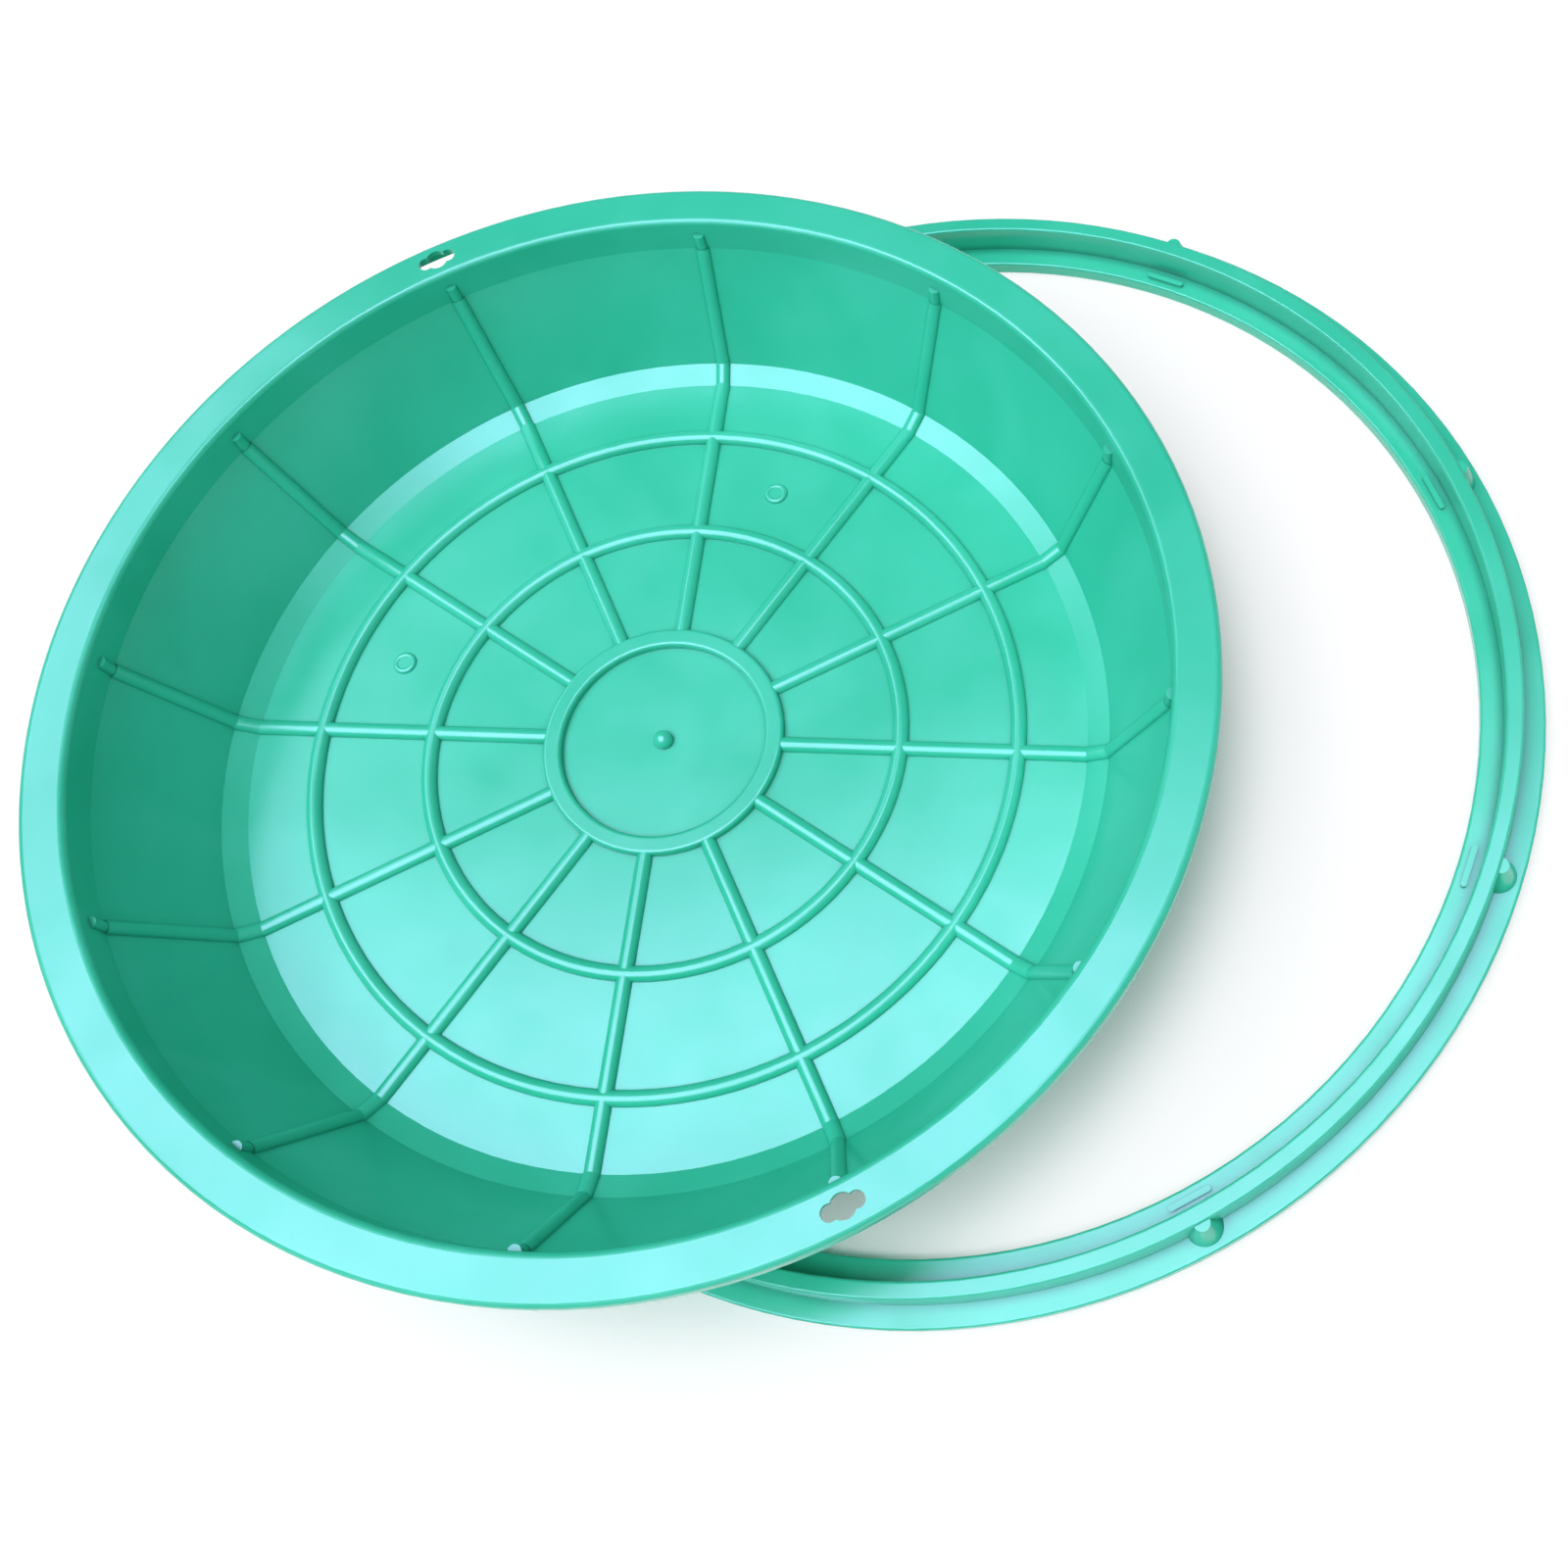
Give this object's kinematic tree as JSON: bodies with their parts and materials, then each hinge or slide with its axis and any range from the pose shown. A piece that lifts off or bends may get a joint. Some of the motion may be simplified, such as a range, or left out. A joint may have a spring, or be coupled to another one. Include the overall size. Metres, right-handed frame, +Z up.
{
  "type": "septic tank cover",
  "caption": "Round plastic septic tank cover: a ribbed dish lid leaning across the flat seat ring that it closes.",
  "frame": {"origin": "centre of the seat ring at its underside, on the ground", "axes": "+Z up out of the ring; +X from the lid's centre towards the ring's centre, so the lid lies to the -X side; -Y is the side that the picture was taken from"},
  "size_m": [0.9406, 0.8, 0.176],
  "materials": {
    "green_plastic": "satin"
  },
  "bodies": {
    "root": {"lid": "green_plastic", "seat_ring": "green_plastic"}
  },
  "joints": []
}
